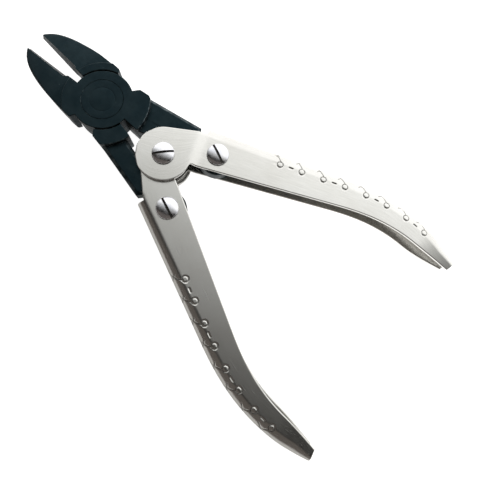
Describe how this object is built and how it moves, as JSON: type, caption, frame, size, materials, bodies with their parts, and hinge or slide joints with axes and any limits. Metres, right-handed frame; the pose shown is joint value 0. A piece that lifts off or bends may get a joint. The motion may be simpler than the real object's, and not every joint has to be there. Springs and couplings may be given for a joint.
{
  "type": "sprue nippers",
  "caption": "Compound-action side cutters with two lap-jointed black steel jaws worked by two pressed nickel-plated channel handles through slotted pivot screws.",
  "frame": {"origin": "centre of the jaw joint on its flat back face", "axes": "+X runs forward to the jaw tips, +Y to the side of the front jaw's blade and the lower handle, +Z out of the front face with the raised ear of the upper handle"},
  "size_m": [0.1587, 0.0844, 0.0188],
  "materials": {
    "black_steel": "hardened steel, blackened, satin",
    "satin_nickel": "pressed steel, satin nickel plate",
    "polished_nickel": "turned steel, polished nickel plate"
  },
  "bodies": {
    "upper_handle": {"upper_handle": "satin_nickel", "centre_screw": "polished_nickel", "centre_nut": "polished_nickel", "centre_spacer": "satin_nickel", "upper_tail_screw": "polished_nickel", "upper_tail_nut": "polished_nickel"},
    "lower_handle": {"lower_handle": "satin_nickel", "lower_tail_screw": "polished_nickel", "lower_tail_nut": "polished_nickel"},
    "front_jaw": {"front_jaw": "black_steel", "jaw_rivet": "black_steel"},
    "rear_jaw": {"rear_jaw": "black_steel"}
  },
  "joints": [
    {"name": "handle_squeeze", "type": "hinge", "parent": "upper_handle", "child": "lower_handle", "pos_m": [-0.02789, 0, 0.006], "axis": [0, 0, 1], "range_deg": [-6, 26.5]},
    {"name": "upper_tail_pivot", "type": "hinge", "parent": "upper_handle", "child": "front_jaw", "pos_m": [-0.04095, -0.01209, 0.006], "axis": [0, 0, 1], "range_deg": [-2.2, 8.8]},
    {"name": "jaw_joint", "type": "hinge", "parent": "front_jaw", "child": "rear_jaw", "pos_m": [0, 0, 0.006], "axis": [0, 0, 1], "range_deg": [-2.2, 9.4]}
  ],
  "couplings": [
    {"joint": "upper_tail_pivot", "follows": "handle_squeeze", "ratio": 0.3268},
    {"joint": "jaw_joint", "follows": "handle_squeeze", "ratio": 0.3465}
  ]
}
